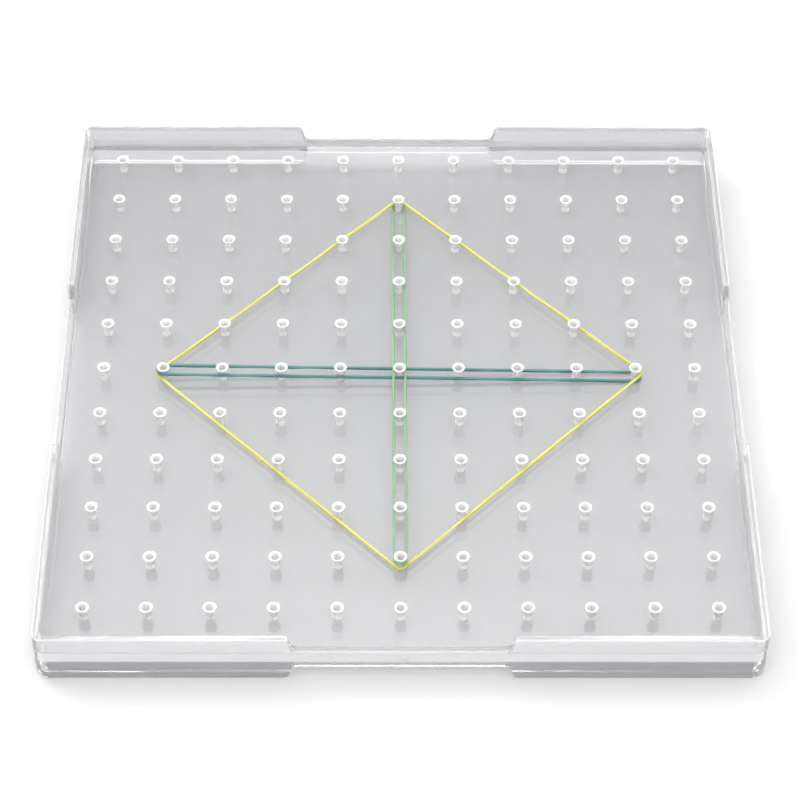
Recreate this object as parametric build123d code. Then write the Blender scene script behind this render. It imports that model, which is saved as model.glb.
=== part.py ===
from build123d import *
import math
import os

# Clear plastic geoboard: a square pegboard of 11 x 11 pins with three
# stretched rubber bands.  Millimetres.  Z is up, the board stands on its
# bottom rim at z = 0, centred on X and Y; the back of the board is at +Y.

# ---- driving dimensions ----
BOARD = 230.0            # outside width and depth
HEIGHT = 20.0            # full height of the rim at the corners
WALL = 2.7               # thickness of the rim wall
OUTER_R = 4.0            # plan radius of the outside corners
INNER_R = 1.6            # plan radius of the inside corners
EDGE_R = 0.6             # rounding of the rim edges
REBATE_H = 2.5           # step round the inside of the rim's bottom edge
REBATE_T = 1.3           # and how far it cuts into the wall

PLATE_BOTTOM = 8.0       # the plate sits half way up the rim
PLATE_TOP = 12.0
NOTCH_BOTTOM = 6.0       # in the middle third of every side the rim is lower
NOTCH_TOP = 14.0
NOTCH_HALF = 34.0        # half width of the notch at its own level
NOTCH_FLARE = 1.5        # how far each end leans out up to the full rim
NOTCH_R = 2.0            # rounding of the notch's inside and outside corners
GATE_X = 1.0             # moulding gate mark on the outside of the front wall
GATE_Z = 10.8
GATE_R = 2.1
GATE_DEPTH = 0.35
GATE_NUB_R = 0.7         # broken-off sprue end, inside the mark

PITCH = 20.0             # pin spacing both ways
PINS = 11                # pins per row, and rows
SOCKET_DEPTH = 2.5       # how deep a pin sits in the plate
STEM_R = 1.5             # pin stem in its socket and at the plate
NECK_R = 1.45            # just below the head
NECK_H = 4.75            # underside of the head, above the plate
HEAD_R = 2.22            # flared ring head
HEAD_RIM_H = 5.3         # height of its widest point
PIN_H = 5.5              # full height above the plate
MOUTH_R = 1.35           # flared mouth of the bore
BORE_R = 0.8             # bore below the mouth
BORE_END_R = 0.7         # bore at its blind end
BORE_DEPTH = 3.5

BAND_H = 1.0             # rubber band section, height
BAND_T = 0.9             # and thickness
BAND_OFFSET = 2.0        # band centreline from the axes of the pins it rounds
REACH = 80.0             # the bands go round the pins four steps from centre

os.makedirs("parts", exist_ok=True)


# ---- board ----
def notch_profile():
    """Half of the notch cut, above the plate, drawn as X against Z."""
    flare_top = NOTCH_HALF + NOTCH_FLARE
    over = HEIGHT + 5.0
    side = flare_top + 10.0
    outline = Polyline(
        (-side, over), (-side, HEIGHT), (-flare_top, HEIGHT),
        (-NOTCH_HALF, NOTCH_TOP), (NOTCH_HALF, NOTCH_TOP),
        (flare_top, HEIGHT), (side, HEIGHT), (side, over), (-side, over),
    )
    face = make_face(outline)
    corners = [v for v in face.vertices()
               if abs(v.X) < flare_top + 1.0 and v.Y < HEIGHT + 1.0]
    return fillet(corners, NOTCH_R)


def notch_tool():
    """Prism that cuts the upper notch in the front and the back wall."""
    face = Plane.XZ * notch_profile()
    return extrude(face, amount=BOARD / 2 + 5.0, both=True)


def on_rim_faces(edge):
    """True for an edge that runs along the rim's outer or inner wall face."""
    for at in (0.0, 0.3, 0.5, 0.7, 1.0):
        p = edge.position_at(at)
        x, y = abs(p.X), abs(p.Y)
        hit = False
        walls = [(BOARD / 2, OUTER_R)]
        if p.Z > REBATE_H + 0.5:
            walls.append((BOARD / 2 - WALL, INNER_R))
        for half, radius in walls:
            c = half - radius
            if x > c and y > c:
                hit = hit or abs(math.hypot(x - c, y - c) - radius) < 1e-3
            else:
                hit = hit or abs(max(x, y) - half) < 1e-3
        if not hit:
            return False
    return True


def rim_edges(solid):
    """The rim's long edges: not those at the plate or up the walls."""
    picked = []
    for e in solid.edges():
        box = e.bounding_box()
        flat = box.size.X < 1e-4 and box.size.Y < 1e-4
        near_plate = box.min.Z > NOTCH_BOTTOM + 0.5 and box.max.Z < NOTCH_TOP - 0.5
        if not flat and not near_plate and on_rim_faces(e):
            picked.append(e)
    return picked


blank = extrude(RectangleRounded(BOARD, BOARD, OUTER_R), HEIGHT)
pocket = RectangleRounded(BOARD - 2 * WALL, BOARD - 2 * WALL, INNER_R)
board = blank - Pos(0, 0, PLATE_TOP) * extrude(pocket, HEIGHT)
board -= Pos(0, 0, PLATE_BOTTOM) * extrude(pocket, -HEIGHT)
rebate_side = BOARD - 2 * (WALL - REBATE_T)
board -= extrude(RectangleRounded(rebate_side, rebate_side, INNER_R + REBATE_T), REBATE_H)

upper_y = notch_tool()
upper_x = Rot(0, 0, 90) * upper_y
mirror_z = Plane.XY.offset((PLATE_TOP + PLATE_BOTTOM) / 2)
board -= [upper_y, upper_x,
          mirror(upper_y, about=mirror_z), mirror(upper_x, about=mirror_z)]
board = fillet(rim_edges(board), EDGE_R)

# gate mark: a shallow round recess with the sprue's end standing in it
gate = Circle(GATE_R) - Circle(GATE_NUB_R)
front_wall = Plane.XZ.offset(BOARD / 2 - GATE_DEPTH)
board -= extrude(front_wall * Pos(GATE_X, GATE_Z) * gate, GATE_DEPTH + 1.0)

first = -PITCH * (PINS - 1) / 2
grid = [first + PITCH * i for i in range(PINS)]
socket = Pos(0, 0, PLATE_TOP - SOCKET_DEPTH) * extrude(Circle(STEM_R), SOCKET_DEPTH + 1.0)
board -= [Pos(x, y, 0) * socket for y in grid for x in grid]
export_step(board.solids()[0], "parts/board.step")


# ---- pins ----
def make_pin():
    """Round pin with a flared ring head and a blind bore from the top."""
    base = PLATE_TOP
    outline = Polyline(
        (0, base - SOCKET_DEPTH),
        (STEM_R, base - SOCKET_DEPTH),
        (STEM_R, base),
        (NECK_R, base + NECK_H),
        (HEAD_R - 0.12, base + HEAD_RIM_H - 0.22),
        (HEAD_R, base + HEAD_RIM_H - 0.05),
        (HEAD_R - 0.06, base + PIN_H - 0.08),
        (HEAD_R - 0.22, base + PIN_H),
        (MOUTH_R + 0.12, base + PIN_H),
        (MOUTH_R - 0.05, base + PIN_H - 0.12),
        (BORE_R, base + PIN_H - 0.9),
        (BORE_END_R, base + PIN_H - BORE_DEPTH + 0.2),
        (BORE_END_R - 0.2, base + PIN_H - BORE_DEPTH),
        (0, base + PIN_H - BORE_DEPTH),
        (0, base - SOCKET_DEPTH),
    )
    face = Plane.XZ * make_face(outline)
    return revolve(face, Axis.Z, 360)


pin = make_pin().solids()[0]
for row, y in enumerate(grid, start=1):
    solids = [Pos(x, y, 0) * pin for x in grid]
    export_step(Compound(children=solids), "parts/pin_row_%02d.step" % row)


# ---- rubber bands ----
def plan_ring(corners):
    """Closed strip, BAND_T wide, round the given pins; extruded full height."""
    core = make_face(Polyline(*corners, corners[0]))
    outer = offset(core, amount=BAND_OFFSET + BAND_T / 2, kind=Kind.ARC)
    inner = offset(core, amount=BAND_OFFSET - BAND_T / 2, kind=Kind.ARC)
    return extrude(outer - inner, 2 * HEIGHT)


def slot_ring(along_x):
    """The same strip for a band stretched straight between two pins."""
    turn = 0 if along_x else 90
    outer = SlotCenterToCenter(2 * REACH, 2 * BAND_OFFSET + BAND_T, rotation=turn)
    inner = SlotCenterToCenter(2 * REACH, 2 * BAND_OFFSET - BAND_T, rotation=turn)
    return extrude(outer - inner, 2 * HEIGHT)


def ribbon(points, plane, reach):
    """Slab BAND_H high that follows the band's height, seen from one side.

    points are (distance along the side view, height above the plate)."""
    upper = [(a, PLATE_TOP + h + BAND_H / 2) for a, h in points]
    lower = [(a, PLATE_TOP + h - BAND_H / 2) for a, h in reversed(points)]
    face = plane * make_face(Polyline(*upper, *lower, upper[0]))
    return extrude(face, amount=reach, both=True)


END = REACH + 5.0

# teal: left to right along the middle row, high on the left, low on the right
teal = slot_ring(True) & ribbon([(-END, 3.97), (END, 0.56)], Plane.XZ, 10.0)
export_step(teal.solids()[0], "parts/teal_band.step")

# green: front to back along the middle column, over the teal band
green = slot_ring(False) & ribbon(
    [(-END, 4.1), (-REACH, 4.1), (4.0, 3.42), (REACH, 0.6), (END, 0.55)],
    Plane.YZ, 10.0)
export_step(green.solids()[0], "parts/green_band.step")

# yellow: a diamond round the same four pins; its back half and front half
# each follow their own heights and meet at the left and right pins
diamond = plan_ring([(REACH, 0), (0, REACH), (-REACH, 0), (0, -REACH)])
half = 2 * END
back_half = Pos(0, half / 2, HEIGHT) * Box(2 * half, half, 4 * HEIGHT)
front_half = Pos(0, -half / 2, HEIGHT) * Box(2 * half, half, 4 * HEIGHT)
LEFT, RIGHT, BACK, FRONT = 1.9, 2.5, 2.1, 1.5
back = ribbon([(-END, LEFT), (-REACH, LEFT), (-3.0, BACK), (3.0, BACK),
               (REACH, RIGHT), (END, RIGHT)], Plane.XZ, END)
front = ribbon([(-END, LEFT), (-REACH, LEFT), (-3.0, FRONT), (3.0, FRONT),
                (REACH, RIGHT), (END, RIGHT)], Plane.XZ, END)
yellow = (diamond & back & back_half) + (diamond & front & front_half)
export_step(yellow.solids()[0], "parts/yellow_band.step")
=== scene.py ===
import math
import random

import bmesh
import bpy
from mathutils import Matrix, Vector


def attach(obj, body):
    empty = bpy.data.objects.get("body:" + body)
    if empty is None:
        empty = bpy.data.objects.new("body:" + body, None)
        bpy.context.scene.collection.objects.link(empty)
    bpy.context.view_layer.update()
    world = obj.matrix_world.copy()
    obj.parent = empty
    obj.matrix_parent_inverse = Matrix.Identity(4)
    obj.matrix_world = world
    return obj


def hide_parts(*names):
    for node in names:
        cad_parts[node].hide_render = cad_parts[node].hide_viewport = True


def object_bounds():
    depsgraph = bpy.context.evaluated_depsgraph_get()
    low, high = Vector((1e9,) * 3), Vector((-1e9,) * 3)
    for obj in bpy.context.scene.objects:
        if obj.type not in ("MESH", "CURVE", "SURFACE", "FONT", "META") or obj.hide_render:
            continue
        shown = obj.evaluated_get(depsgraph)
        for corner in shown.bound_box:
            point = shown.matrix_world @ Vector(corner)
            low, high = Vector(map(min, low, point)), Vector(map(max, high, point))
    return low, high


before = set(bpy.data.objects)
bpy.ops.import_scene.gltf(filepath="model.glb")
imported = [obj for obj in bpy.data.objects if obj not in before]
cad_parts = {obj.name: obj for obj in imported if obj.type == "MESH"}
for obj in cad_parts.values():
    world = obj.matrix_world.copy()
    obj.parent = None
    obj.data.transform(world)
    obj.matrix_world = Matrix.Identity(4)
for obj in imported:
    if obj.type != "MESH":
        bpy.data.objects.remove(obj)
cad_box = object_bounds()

MM = 0.001

# ---------------------------------------------------------------- dimensions, mm
PLATE_TOP = 12.0
RIM_TOP = 20.0
WALL = 2.7            # thickness of the rim's wall
SOCKET_LOW = 9.3      # just under the floor of the pins' sockets
SOCKET_NEAR = 1.58    # a face all nearer than this to a pin's axis belongs to its socket

PITCH = 20.0          # pin spacing both ways
PINS = 11             # pins in a row, and rows
FIRST = -PITCH * (PINS - 1) / 2
PIN_SUNK = 0.35       # how far a visible pin goes into the plate
PIN_H = 5.5           # height above the plate
STEM_R = 1.5
HEAD_R = 2.22
MOUTH_R = 1.50        # mouth of the bore
BORE_DEPTH = 3.5

REACH = 80.0          # the bands go round the pins four steps from the centre
BAND_OFFSET = 2.0     # middle of a band from the axes of the pins it rounds
BAND_H = 0.98         # height of a band's section
BAND_T = 0.82         # and its thickness
RIGHT, BACK, LEFT, FRONT = (REACH, 0.0), (0.0, REACH), (-REACH, 0.0), (0.0, -REACH)

# ---------------------------------------------------------------- looks
PLASTIC_IOR = 1.53
# transmission of the board, and what haze and painted glow take off it
PLATE_CLARITY = 0.87
RIM_CLARITY = 0.95
SIDE_PAINTED_GLOW = 0.08      # painted glow: all of the left and right walls made milkier than the front and back
TOP_HAZE = 0.09       # all round the rim's top edge
# The rim's outside, from the floor, 0, to the rim's top, 1. The stretch from 0.47 to 0.66 is painted
# glow:
# the plate's edge, lit along its length, painted on as extra haze; seen from above it shows on the wall
# about 1 mm higher than the plate is.
RIM_HAZE_AND_GLOW = ((0.0, 0.0), (0.43, 0.0), (0.47, 0.50), (0.66, 0.50), (0.70, 0.20), (1.0, 0.20))
# transmission of a pin from the plate, 0, to its top, 1: solid foot, clear wall of the bore, head
PIN_CLARITY = ((0.0, 0.42), (0.28, 0.42), (0.44, 0.62), (0.78, 0.62), (0.90, 0.57), (1.0, 0.57))

FLOOR_HALF = 6.0      # metres
FLOOR_DROP = 0.05     # mm, keeps the floor off the rim's bottom face
# painted shade: the grey that rays through or off the plastic find on the floor
FLOOR_SHADE_GREY = (0.42, 0.42, 0.43)
FLOOR_LIGHT = (0.61, 0.61, 0.61)
SKY = 2.6
# brightness of the studio by the height of the direction looked in, from level, 0, to overhead, 1
SKY_AT_HEIGHT = ((0.0, 0.90), (0.45, 0.60), (0.60, 0.18), (0.70, 0.16), (0.82, 1.0), (1.0, 1.0))
KEY_AT = (-1.2, 0.9, 1.6)
KEY_SIZE = 0.8
KEY_POWER = 14.0

scene = bpy.context.scene


# ---------------------------------------------------------------- camera
cam_data = bpy.data.cameras.new("camera")
cam_data.sensor_width = 36.0
cam_data.lens = 118.0
cam_data.clip_start = 0.01
cam_data.clip_end = 50.0
cam = bpy.data.objects.new("camera", cam_data)
scene.collection.objects.link(cam)
cam.location = (-0.00696, -0.58402, 0.68624)
cam.rotation_euler = (math.radians(40.41), math.radians(-0.395), math.radians(-0.246))
scene.camera = cam


# ---------------------------------------------------------------- shader nodes
def material(name, colour, roughness, transmission=0.0, ior=1.5):
    m = bpy.data.materials.new(name)
    m.use_nodes = True
    p = m.node_tree.nodes["Principled BSDF"]
    p.inputs["Base Color"].default_value = (*colour, 1.0)
    p.inputs["Roughness"].default_value = roughness
    p.inputs["Transmission Weight"].default_value = transmission
    p.inputs["IOR"].default_value = ior
    return m, m.node_tree, p


def noise(nt, scale, detail=2.0, rough=0.5):
    """Noise in object space; scale is in features per metre."""
    at = nt.nodes.new("ShaderNodeTexCoord")
    n = nt.nodes.new("ShaderNodeTexNoise")
    n.inputs["Scale"].default_value = scale
    n.inputs["Detail"].default_value = detail
    n.inputs["Roughness"].default_value = rough
    nt.links.new(at.outputs["Object"], n.inputs["Vector"])
    return n.outputs["Fac"]


def ramp(nt, source, low, high, from_min=0.3, from_max=0.7):
    """A value that goes from low to high as the source goes from from_min to from_max."""
    r = nt.nodes.new("ShaderNodeMapRange")
    r.inputs["From Min"].default_value = from_min
    r.inputs["From Max"].default_value = from_max
    r.inputs["To Min"].default_value = low
    r.inputs["To Max"].default_value = high
    nt.links.new(source, r.inputs["Value"])
    return r.outputs["Result"]


def bump(nt, p, height, distance, strength):
    b = nt.nodes.new("ShaderNodeBump")
    b.inputs["Strength"].default_value = strength
    b.inputs["Distance"].default_value = distance
    nt.links.new(height, b.inputs["Height"])
    nt.links.new(b.outputs["Normal"], p.inputs["Normal"])


def mixed(nt, share, colour, other):
    """The colour where the share is 0, and the other where it is 1."""
    mix = nt.nodes.new("ShaderNodeMix")
    mix.data_type = "RGBA"
    # a Mix node's sockets share their names between data types: 6 and 7 are the colours A and B
    mix.inputs[6].default_value = (*colour, 1.0)
    mix.inputs[7].default_value = (*other, 1.0)
    nt.links.new(share, mix.inputs[0])
    return mix.outputs[2]


def stepped(nt, share, stops):
    """A value that follows the stops, (position, value), as the share goes from 0 to 1."""
    levels = nt.nodes.new("ShaderNodeValToRGB")
    marks = levels.color_ramp.elements
    marks[0].position, marks[1].position = stops[0][0], stops[-1][0]
    for position, _ in stops[1:-1]:
        marks.new(position)
    for mark, (_, value) in zip(marks, stops):
        mark.color = (value, value, value, 1.0)
    nt.links.new(share, levels.inputs["Fac"])
    return levels.outputs["Color"]


def math_node(nt, operation, *values):
    """A maths node; each value is a number or another node's output."""
    n = nt.nodes.new("ShaderNodeMath")
    n.operation = operation
    for socket, value in zip(n.inputs, values):
        if isinstance(value, float):
            socket.default_value = value
        else:
            nt.links.new(value, socket)
    return n.outputs[0]


def coordinates(nt, space):
    """X, Y and Z of the given kind of texture coordinate."""
    at = nt.nodes.new("ShaderNodeTexCoord")
    sep = nt.nodes.new("ShaderNodeSeparateXYZ")
    nt.links.new(at.outputs[space], sep.inputs["Vector"])
    return sep.outputs


def by_height(nt, z, low, high, stops):
    """A value that follows the stops from the height low, 0, to the height high, 1, in mm."""
    return stepped(nt, ramp(nt, z, 0.0, 1.0, low * MM, high * MM), stops)


# ---------------------------------------------------------------- clear plastic
def board_clarity(nt, half):
    """Transmission of the board, by place: the plate's or the rim's, less the rim's hazing and painted
    glow.
    """
    x, y, z = coordinates(nt, "Object")
    beside = math_node(nt, "ABSOLUTE", x)
    far = math_node(nt, "MAXIMUM", beside, math_node(nt, "ABSOLUTE", y))
    inner = half - WALL * MM
    wall_from, wall_to = inner - 0.3 * MM, inner - 0.1 * MM
    clarity = ramp(nt, far, PLATE_CLARITY, RIM_CLARITY, wall_from, wall_to)
    # painted glow: the left and right walls hazed whiter than the front and back walls
    side_glow = ramp(nt, beside, 0.0, SIDE_PAINTED_GLOW, wall_from, wall_to)
    on_top = ramp(nt, z, 0.0, TOP_HAZE, (RIM_TOP - 1.0) * MM, (RIM_TOP - 0.4) * MM)
    outside = ramp(nt, far, 0.0, 1.0, half - 1.0 * MM, half - 0.5 * MM)
    # haze on the rim's outside, with a painted glow where the plate's edge shows through the wall
    outside_haze_and_glow = math_node(nt, "MULTIPLY", by_height(nt, z, 0.0, RIM_TOP, RIM_HAZE_AND_GLOW), outside)
    # the sum of haze and painted glow
    haze_and_glow = math_node(nt, "ADD", math_node(nt, "ADD", side_glow, on_top), outside_haze_and_glow)
    return math_node(nt, "SUBTRACT", clarity, haze_and_glow)


clear, nt, p = material("clear_plastic", (0.95, 0.953, 0.96), 0.06, PLATE_CLARITY, PLASTIC_IOR)
nt.links.new(ramp(nt, noise(nt, 45.0, 4.0, 0.6), 0.045, 0.085), p.inputs["Roughness"])
nt.links.new(board_clarity(nt, cad_box[1][0]), p.inputs["Transmission Weight"])
bump(nt, p, noise(nt, 22.0, 1.0), 0.00015, 0.5)

clear_pin, nt, p = material("clear_pin", (0.97, 0.97, 0.975), 0.14, 0.60, PLASTIC_IOR)
grain = noise(nt, 900.0)
nt.links.new(ramp(nt, grain, 0.10, 0.20), p.inputs["Roughness"])
clarity = by_height(nt, coordinates(nt, "Object")[2], PLATE_TOP, PLATE_TOP + PIN_H, PIN_CLARITY)
nt.links.new(clarity, p.inputs["Transmission Weight"])
bump(nt, p, grain, 0.00004, 0.6)


# ---------------------------------------------------------------- rubber
def rubber(name, colour, pale):
    m, nt, p = material(name, colour, 0.45)
    p.inputs["Subsurface Weight"].default_value = 0.12
    p.inputs["Subsurface Radius"].default_value = (0.0012, 0.0012, 0.0010)
    p.inputs["Subsurface Scale"].default_value = 1.0
    p.inputs["Specular IOR Level"].default_value = 0.45
    grain = noise(nt, 1400.0, 3.0, 0.6)
    mottle = noise(nt, 160.0)
    nt.links.new(mixed(nt, ramp(nt, mottle, 0.0, 0.6), colour, pale), p.inputs["Base Color"])
    nt.links.new(ramp(nt, grain, 0.38, 0.58), p.inputs["Roughness"])
    bump(nt, p, grain, 0.00003, 0.6)
    return m


yellow_rubber = rubber("yellow_rubber", (0.52, 0.50, 0.085), (0.59, 0.57, 0.15))
teal_rubber = rubber("teal_rubber", (0.045, 0.175, 0.165), (0.09, 0.24, 0.23))
green_rubber = rubber("green_rubber", (0.17, 0.30, 0.175), (0.25, 0.37, 0.25))


# ---------------------------------------------------------------- helpers
def clamp(value, low=0.0, high=1.0):
    return min(max(value, low), high)


def new_object(name, bm, mat, sharp_angle):
    """A smooth-shaded object from the bmesh, with edges over sharp_angle degrees kept sharp."""
    me = bpy.data.meshes.new(name)
    bm.to_mesh(me)
    bm.free()
    me.materials.append(mat)
    for f in me.polygons:
        f.use_smooth = True
    me.set_sharp_from_angle(angle=math.radians(sharp_angle))
    ob = bpy.data.objects.new(name, me)
    scene.collection.objects.link(ob)
    return ob


def off_pin(x, y):
    """Distance in plan from a point to the nearest pin axis, in mm."""
    i = clamp(round((x - FIRST) / PITCH), 0, PINS - 1)
    j = clamp(round((y - FIRST) / PITCH), 0, PINS - 1)
    return math.hypot(x - FIRST - i * PITCH, y - FIRST - j * PITCH)


# ---------------------------------------------------------------- board
def in_socket(face):
    """True for a face of a pin's socket."""
    return all(off_pin(v.co.x / MM, v.co.y / MM) < SOCKET_NEAR
               and SOCKET_LOW * MM < v.co.z < (PLATE_TOP + 0.02) * MM for v in face.verts)


def clear_board():
    """The board as one clear piece: the CAD board with its pin sockets closed over, so that no wall
    of air shows round each pin inside the plastic."""
    bm = bmesh.new()
    bm.from_mesh(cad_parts["board"].data)
    bmesh.ops.remove_doubles(bm, verts=bm.verts, dist=0.002 * MM)
    bmesh.ops.delete(bm, geom=[f for f in bm.faces if in_socket(f)], context="FACES")
    bmesh.ops.holes_fill(bm, edges=[e for e in bm.edges if e.is_boundary], sides=0)
    bmesh.ops.dissolve_limit(bm, angle_limit=math.radians(0.6), verts=bm.verts, edges=bm.edges)
    bmesh.ops.recalc_face_normals(bm, faces=bm.faces)
    ob = new_object("board_clear", bm, clear, 35)
    ob.modifiers.new("weighted", "WEIGHTED_NORMAL").keep_sharp = True
    return ob


board = clear_board()
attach(board, "geoboard")
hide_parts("board")


# ---------------------------------------------------------------- pins
def pin_profile(rng):
    """(radius, height above the plate) from the foot up, over the head and down the bore, in mm."""
    head = HEAD_R * (1 + rng.uniform(-0.025, 0.0))
    mouth = MOUTH_R * (1 + rng.uniform(-0.06, 0.06))
    end = PIN_H - (BORE_DEPTH + rng.uniform(-0.15, 0.15))
    return [
        (0.0, -PIN_SUNK), (STEM_R - 0.05, -PIN_SUNK), (STEM_R, -PIN_SUNK + 0.05), (STEM_R, 0.0),
        (STEM_R - 0.012, 1.2), (STEM_R - 0.03, 2.6), (STEM_R - 0.045, 3.8), (STEM_R - 0.05, 4.55),
        (STEM_R, 4.76), (1.72, 4.90), (head - 0.18, 5.03), (head - 0.05, 5.12), (head, 5.25),
        (head - 0.03, 5.38), (head - 0.12, 5.46), (head - 0.26, PIN_H),
        (mouth + 0.14, PIN_H), (mouth + 0.03, 5.46), (mouth - 0.07, 5.34),
        (mouth - 0.25, 4.95), (1.0, 4.5), (0.84, 4.0), (0.76, 3.2),
        (0.70, end + 0.35), (0.62, end + 0.12), (0.45, end), (0.0, end),
    ]


def add_pin(bm, x, y, rng, segments=36):
    """One pin at x, y, in mm, with its head a little oval and tilted."""
    profile = pin_profile(rng)
    turn = rng.uniform(0, 2 * math.pi)
    oval = rng.uniform(0.0, 0.02)
    lean = rng.uniform(0.0, 0.10)
    rings = []
    for r, h in profile:
        if r == 0.0:
            rings.append([bm.verts.new((x * MM, y * MM, (PLATE_TOP + h) * MM))])
            continue
        flare = clamp((h - 4.7) / 0.5)
        ring = []
        for s in range(segments):
            a = 2 * math.pi * s / segments
            side = flare * (1 + math.cos(a - turn)) / 2
            across = r * (1 - flare * oval * (1 + math.cos(2 * (a - turn))) / 2)
            ring.append(bm.verts.new(((x + across * math.cos(a)) * MM, (y + across * math.sin(a)) * MM,
                                      (PLATE_TOP + h - side * lean) * MM)))
        rings.append(ring)
    for low, high in zip(rings, rings[1:]):
        for s in range(segments):
            t = (s + 1) % segments
            if len(low) == 1:
                bm.faces.new((low[0], high[t], high[s]))
            elif len(high) == 1:
                bm.faces.new((low[s], low[t], high[0]))
            else:
                bm.faces.new((low[s], low[t], high[t], high[s]))


for row in range(PINS):
    rng = random.Random(100 + row)
    bm = bmesh.new()
    for col in range(PINS):
        add_pin(bm, FIRST + PITCH * col, FIRST + PITCH * row, rng)
    bmesh.ops.recalc_face_normals(bm, faces=bm.faces)
    ob = new_object("pins_%02d" % (row + 1), bm, clear_pin, 60)
    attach(ob, "geoboard")
    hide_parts("pin_row_%02d" % (row + 1))


# ---------------------------------------------------------------- rubber bands
def loop_path(corners, step=1.0, arc_steps=14):
    """Points (x, y) of a taut loop round the given pins, BAND_OFFSET from their axes, anticlockwise."""
    pts = []
    for i, (x, y) in enumerate(corners):
        before, after = corners[i - 1], corners[(i + 1) % len(corners)]
        a0 = math.atan2(y - before[1], x - before[0]) - math.pi / 2
        a1 = math.atan2(after[1] - y, after[0] - x) - math.pi / 2
        while a1 < a0:
            a1 += 2 * math.pi
        angles = [a0 + (a1 - a0) * k / arc_steps for k in range(arc_steps + 1)]
        pts += [(x + BAND_OFFSET * math.cos(a), y + BAND_OFFSET * math.sin(a)) for a in angles]
        start = pts[-1]
        end = (after[0] + BAND_OFFSET * math.cos(a1), after[1] + BAND_OFFSET * math.sin(a1))
        count = max(2, round(math.dist(start, end) / step))
        pts += [(start[0] + (end[0] - start[0]) * k / count,
                 start[1] + (end[1] - start[1]) * k / count) for k in range(1, count)]
    return pts


def between(x, table):
    """Straight-line value at x from (x, value) pairs."""
    for (x0, v0), (x1, v1) in zip(table, table[1:]):
        if x <= x1:
            return v0 + (v1 - v0) * clamp((x - x0) / (x1 - x0))
    return table[-1][1]


def section(height, thick, r=0.16, n=3):
    """Rounded rectangle, (across, up), anticlockwise."""
    out = []
    for cx, cy, a in ((1, 1, 0), (-1, 1, 90), (-1, -1, 180), (1, -1, 270)):
        for k in range(n + 1):
            t = math.radians(a + 90 * k / n)
            out.append((cx * (thick / 2 - r) + r * math.cos(t), cy * (height / 2 - r) + r * math.sin(t)))
    return out


def band(name, corners, height_at, mat, seed):
    """A band round the corners, uneven along its length and slowly twisted where it runs free."""
    rng = random.Random(seed)
    phase = [rng.uniform(0, 6.28) for _ in range(4)]
    pts = loop_path(corners)
    bm = bmesh.new()
    rings = []
    n = len(pts)
    run = 0.0
    for i, (x, y) in enumerate(pts):
        nx, ny = pts[(i + 1) % n]
        px, py = pts[i - 1]
        run += math.dist((x, y), (px, py)) if i else 0.0
        along = Vector((nx - px, ny - py)).normalized()
        out = (along.y, -along.x)
        wob = 0.03 * math.sin(run * 0.21 + phase[0]) + 0.02 * math.sin(run * 0.53 + phase[1])
        free = clamp((off_pin(x, y) - 3.0) / 5.0)
        twist = free * (0.6 * math.sin(run * 0.055 + phase[2]) + 0.25 * math.sin(run * 0.13 + phase[3]))
        cos_t, sin_t = math.cos(twist), math.sin(twist)
        z = PLATE_TOP + height_at(x, y)
        ring = []
        for a, u in section(BAND_H + wob, BAND_T + wob * 0.8):
            across, up = a * cos_t - u * sin_t, a * sin_t + u * cos_t
            ring.append(bm.verts.new(((x + out[0] * across) * MM, (y + out[1] * across) * MM,
                                      (z + up) * MM)))
        rings.append(ring)
    m = len(rings[0])
    for i in range(n):
        a, b = rings[i], rings[(i + 1) % n]
        for k in range(m):
            bm.faces.new((a[k], a[(k + 1) % m], b[(k + 1) % m], b[k]))
    bmesh.ops.recalc_face_normals(bm, faces=bm.faces)
    return new_object(name, bm, mat, 70)


# heights of each band's middle above the plate, in mm
def teal_height(x, y):
    return between(x, [(-85.0, 3.97), (85.0, 0.56)])


def green_height(x, y):
    return between(y, [(-85.0, 4.1), (-80.0, 4.1), (4.0, 3.42), (80.0, 0.6), (85.0, 0.55)])


def yellow_height(x, y):
    low = 2.1 if y > 0 else 1.5
    return between(x, [(-85.0, 1.9), (-80.0, 1.9), (-3.0, low), (3.0, low), (80.0, 2.5), (85.0, 2.5)])


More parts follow.
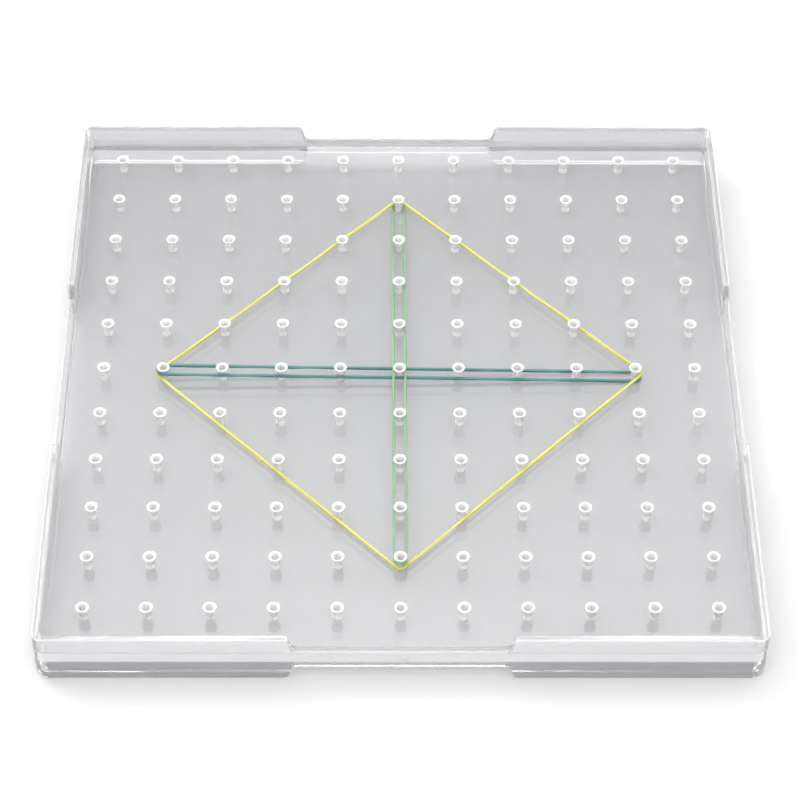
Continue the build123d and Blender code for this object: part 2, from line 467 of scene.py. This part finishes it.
for name, corners, height_at, mat, seed in (
    ("yellow", (RIGHT, BACK, LEFT, FRONT), yellow_height, yellow_rubber, 7),
    ("teal", (RIGHT, LEFT), teal_height, teal_rubber, 8),
    ("green", (BACK, FRONT), green_height, green_rubber, 9),
):
    ob = band(name + "_rubber_band", corners, height_at, mat, seed)
    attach(ob, name + "_loop")
    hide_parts(name + "_band")


# ---------------------------------------------------------------- floor
# Rays straight from the camera find a light floor, which the lights bring up to white. All other rays,
# with those that come through or off the plastic, find a mid grey: partly the grey table the object was
# lit and seen on, cut out to white round it, partly painted shade under the board, seen through the
# plastic.
floor_me = bpy.data.meshes.new("floor")
square = [(-1, -1), (1, -1), (1, 1), (-1, 1)]
floor_me.from_pydata([(FLOOR_HALF * x, FLOOR_HALF * y, 0) for x, y in square], [], [(0, 1, 2, 3)])
floor_mat, nt, p = material("floor", (0.93, 0.93, 0.93), 0.9)
p.inputs["Specular IOR Level"].default_value = 0.0
ray = nt.nodes.new("ShaderNodeLightPath")
# painted shade: grey for every ray but those straight from the camera
tone = mixed(nt, ray.outputs["Is Camera Ray"], FLOOR_SHADE_GREY, FLOOR_LIGHT)
nt.links.new(tone, p.inputs["Base Color"])
floor_me.materials.append(floor_mat)
floor = bpy.data.objects.new("floor", floor_me)
floor.location.z = -FLOOR_DROP * MM
scene.collection.objects.link(floor)


# ---------------------------------------------------------------- light
world = bpy.data.worlds.new("studio")
world.use_nodes = True
wt = world.node_tree
bg = wt.nodes["Background"]
wt.links.new(stepped(wt, coordinates(wt, "Generated")[2], SKY_AT_HEIGHT), bg.inputs["Color"])
bg.inputs["Strength"].default_value = SKY
scene.world = world

key_data = bpy.data.lights.new("key", "AREA")
key_data.shape = "SQUARE"
key_data.size = KEY_SIZE
key_data.energy = KEY_POWER
key = bpy.data.objects.new("key", key_data)
key.location = KEY_AT
key.rotation_euler = (-Vector(KEY_AT)).to_track_quat("-Z", "Y").to_euler()
scene.collection.objects.link(key)

scene.view_settings.view_transform = "Standard"
scene.view_settings.look = "None"
scene.cycles.max_bounces = 24
scene.cycles.transmission_bounces = 24
scene.cycles.transparent_max_bounces = 16
scene.cycles.glossy_bounces = 8
scene.cycles.diffuse_bounces = 4
